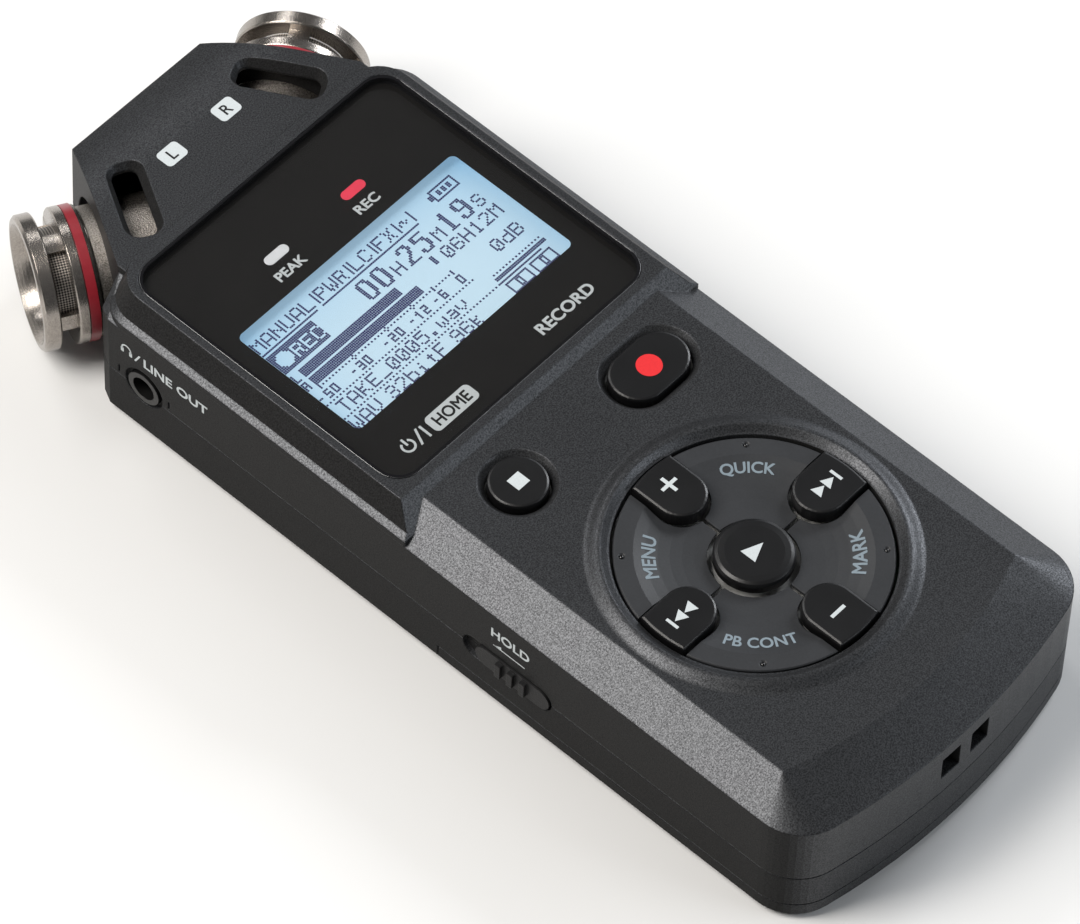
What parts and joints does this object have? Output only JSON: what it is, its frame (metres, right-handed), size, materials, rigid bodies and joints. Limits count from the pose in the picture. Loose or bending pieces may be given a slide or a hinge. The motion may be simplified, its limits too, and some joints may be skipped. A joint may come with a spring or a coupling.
{
  "type": "portable field recorder",
  "caption": "Hand-held stereo field recorder with angled microphones at its head, a display window, a round key pad and a battery bay behind a sliding door.",
  "frame": {"origin": "middle of the box around the whole recorder, on its flat back", "axes": "+X to the recorder's right seen from the front, +Y to the microphones, +Z out of the keys and display"},
  "size_m": [0.0598, 0.142, 0.0233],
  "materials": {
    "case_paint": "charcoal metallic paint on moulded plastic, fine grain",
    "case_dark": "dark charcoal fine-textured plastic",
    "door_dark": "dark charcoal fine-textured plastic",
    "window_glass": "clear acrylic printed black behind, with a clear display area",
    "lcd": "backlit pale blue dot-matrix display",
    "white_plastic": "white backlight frame",
    "lamp_clear": "milky light pipe",
    "lamp_red": "red light pipe",
    "board_green": "solder mask",
    "io_green": "solder mask",
    "link_black": "black connector",
    "silicone": "grey silicone",
    "key_record": "satin black key cap with pale legends",
    "key_stop": "satin black key cap with pale legends",
    "key_play": "satin black key cap with pale legends",
    "key_plus": "satin black key cap with pale legends",
    "key_minus": "satin black key cap with pale legends",
    "key_rewind": "satin black key cap with pale legends",
    "key_forward": "satin black key cap with pale legends",
    "key_menu": "satin black key cap with pale legends",
    "key_quick": "satin black key cap with pale legends",
    "key_mark": "satin black key cap with pale legends",
    "key_playback": "satin black key cap with pale legends",
    "slider_black": "satin black plastic",
    "switch_steel": "plated steel",
    "left_barrel_nickel": "nickel plate, blasted or turned",
    "left_housing_nickel": "nickel plate, blasted or turned",
    "left_band_red": "red ring",
    "left_mesh_steel": "fine woven steel mesh",
    "left_capsule_brass": "capsule can",
    "right_barrel_nickel": "nickel plate, blasted or turned",
    "right_housing_nickel": "nickel plate, blasted or turned",
    "right_band_red": "red ring",
    "right_mesh_steel": "fine woven steel mesh",
    "right_capsule_brass": "capsule can",
    "phones_plastic": "black moulded plastic",
    "ext_mic_plastic": "black moulded plastic",
    "usb_steel": "plated steel",
    "socket_steel": "plated steel",
    "card_black": "black moulded plastic",
    "cover_black": "satin black plastic",
    "speaker_dark": "black moulded plastic",
    "nut_brass": "turned brass",
    "left_cell_wrap": "printed cell sleeve, no marks",
    "right_cell_wrap": "printed cell sleeve, no marks",
    "spring_steel": "plated steel",
    "plate_steel": "plated steel",
    "bridge_steel": "plated steel",
    "screw_black": "black oxide steel",
    "board_screw_steel": "plated steel"
  },
  "bodies": {
    "case": {"front_shell": "case_paint", "back_shell": "case_dark", "display_window": "window_glass", "lcd_panel": "lcd", "lcd_frame": "white_plastic", "peak_lamp": "lamp_clear", "record_lamp": "lamp_red", "main_board": "board_green", "io_board": "io_green", "board_link": "link_black", "key_mat": "silicone", "hold_switch": "switch_steel", "left_mic_barrel": "left_barrel_nickel", "left_mic_housing": "left_housing_nickel", "left_mic_band": "left_band_red", "left_mic_mesh": "left_mesh_steel", "left_mic_capsule": "left_capsule_brass", "right_mic_barrel": "right_barrel_nickel", "right_mic_housing": "right_housing_nickel", "right_mic_band": "right_band_red", "right_mic_mesh": "right_mesh_steel", "right_mic_capsule": "right_capsule_brass", "phones_jack": "phones_plastic", "ext_mic_jack": "ext_mic_plastic", "usb_port": "usb_steel", "card_socket": "socket_steel", "memory_card": "card_black", "speaker": "speaker_dark", "tripod_nut": "nut_brass", "left_cell": "left_cell_wrap", "right_cell": "right_cell_wrap", "cell_springs": "spring_steel", "cell_plates": "plate_steel", "cell_bridge": "bridge_steel", "case_screws": "screw_black", "board_screws": "board_screw_steel"},
    "battery_door": {"battery_door": "door_dark"},
    "hold_slider": {"hold_slider": "slider_black"},
    "card_cover": {"card_cover": "cover_black"},
    "record_key": {"record_key": "key_record"},
    "stop_key": {"stop_key": "key_stop"},
    "play_key": {"play_key": "key_play"},
    "plus_key": {"plus_key": "key_plus"},
    "minus_key": {"minus_key": "key_minus"},
    "rewind_key": {"rewind_key": "key_rewind"},
    "forward_key": {"forward_key": "key_forward"},
    "menu_key": {"menu_key": "key_menu"},
    "quick_key": {"quick_key": "key_quick"},
    "mark_key": {"mark_key": "key_mark"},
    "playback_key": {"playback_key": "key_playback"}
  },
  "joints": [
    {"name": "record_key_press", "type": "slide", "parent": "case", "child": "record_key", "axis": [0, 0, -1], "range_m": [0, 0.0005], "stiffness_N_per_m": 400},
    {"name": "stop_key_press", "type": "slide", "parent": "case", "child": "stop_key", "axis": [0, 0, -1], "range_m": [0, 0.0005], "stiffness_N_per_m": 400},
    {"name": "play_key_press", "type": "slide", "parent": "case", "child": "play_key", "axis": [0, 0, -1], "range_m": [0, 0.0005], "stiffness_N_per_m": 400},
    {"name": "plus_key_press", "type": "slide", "parent": "case", "child": "plus_key", "axis": [0, 0, -1], "range_m": [0, 0.0005], "stiffness_N_per_m": 400},
    {"name": "minus_key_press", "type": "slide", "parent": "case", "child": "minus_key", "axis": [0, 0, -1], "range_m": [0, 0.0005], "stiffness_N_per_m": 400},
    {"name": "rewind_key_press", "type": "slide", "parent": "case", "child": "rewind_key", "axis": [0, 0, -1], "range_m": [0, 0.0005], "stiffness_N_per_m": 400},
    {"name": "forward_key_press", "type": "slide", "parent": "case", "child": "forward_key", "axis": [0, 0, -1], "range_m": [0, 0.0005], "stiffness_N_per_m": 400},
    {"name": "menu_key_press", "type": "slide", "parent": "case", "child": "menu_key", "axis": [0, 0, -1], "range_m": [0, 0.0005], "stiffness_N_per_m": 400},
    {"name": "quick_key_press", "type": "slide", "parent": "case", "child": "quick_key", "axis": [0, 0, -1], "range_m": [0, 0.0005], "stiffness_N_per_m": 400},
    {"name": "mark_key_press", "type": "slide", "parent": "case", "child": "mark_key", "axis": [0, 0, -1], "range_m": [0, 0.0005], "stiffness_N_per_m": 400},
    {"name": "playback_key_press", "type": "slide", "parent": "case", "child": "playback_key", "axis": [0, 0, -1], "range_m": [0, 0.0005], "stiffness_N_per_m": 400},
    {"name": "hold_slide", "type": "slide", "parent": "case", "child": "hold_slider", "axis": [0, 1, 0], "range_m": [0, 0.002]},
    {"name": "battery_door_slide", "type": "slide", "parent": "case", "child": "battery_door", "axis": [0, -1, 0], "range_m": [0, 0.064]},
    {"name": "card_cover_hinge", "type": "hinge", "parent": "case", "child": "card_cover", "pos_m": [0.0266, 0.01365, 0.0079], "axis": [0, 0, -1], "range_deg": [0, 90]}
  ]
}
